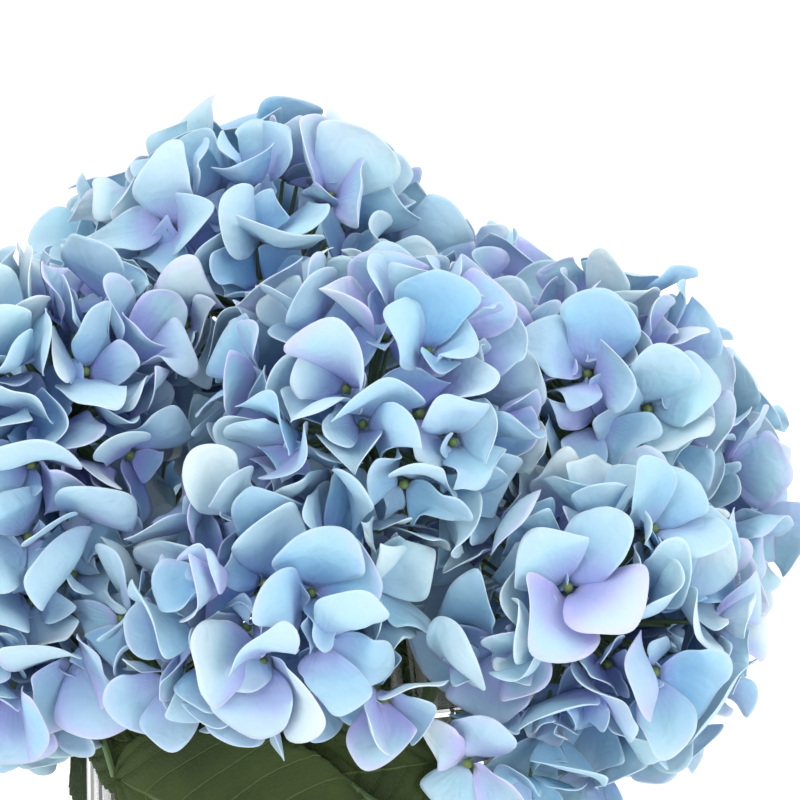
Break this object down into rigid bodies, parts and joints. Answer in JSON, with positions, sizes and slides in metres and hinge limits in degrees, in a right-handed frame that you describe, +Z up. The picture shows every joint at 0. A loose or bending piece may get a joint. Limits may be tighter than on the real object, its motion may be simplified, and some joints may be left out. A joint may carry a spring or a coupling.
{
  "type": "hydrangeas in a vase",
  "caption": "Domed bunch of pale blue mophead hydrangeas with green leaves at the neck, standing on their stems in a clear straight-sided glass cylinder vase",
  "frame": {"origin": "the centre of the vase's foot, on the surface that it stands on", "axes": "+Z is up, along the vase's axis and out through its mouth; -Y is the side that the picture shows, and +X is to the right of it"},
  "size_m": [0.2931, 0.2634, 0.3252],
  "materials": {
    "clear_glass": "gloss",
    "petals": "matte",
    "green_stem": "satin",
    "leaf_green": "satin"
  },
  "bodies": {
    "root": {"vase": "clear_glass", "bloom_top": "petals", "bloom_upper_front": "petals", "bloom_upper_right": "petals", "bloom_upper_back_right": "petals", "bloom_upper_back_left": "petals", "bloom_upper_left": "petals", "bloom_front": "petals", "bloom_right_front": "petals", "bloom_right_back": "petals", "bloom_back": "petals", "bloom_left_back": "petals", "bloom_left_front": "petals", "stem_top": "green_stem", "stem_upper_front": "green_stem", "stem_upper_right": "green_stem", "stem_upper_back_right": "green_stem", "stem_upper_back_left": "green_stem", "stem_upper_left": "green_stem", "stem_front": "green_stem", "stem_right_front": "green_stem", "stem_right_back": "green_stem", "stem_back": "green_stem", "stem_left_back": "green_stem", "stem_left_front": "green_stem", "leaf_front": "leaf_green", "leaf_left_back": "leaf_green", "leaf_right": "leaf_green", "leaf_front_under": "leaf_green", "leaf_back": "leaf_green", "leaf_right_front": "leaf_green", "leaf_stalk_right_front": "green_stem", "leaf_stalk_front": "green_stem", "leaf_stalk_left_back": "green_stem", "leaf_stalk_right": "green_stem", "leaf_stalk_front_under": "green_stem", "leaf_stalk_back": "green_stem"}
  },
  "joints": []
}
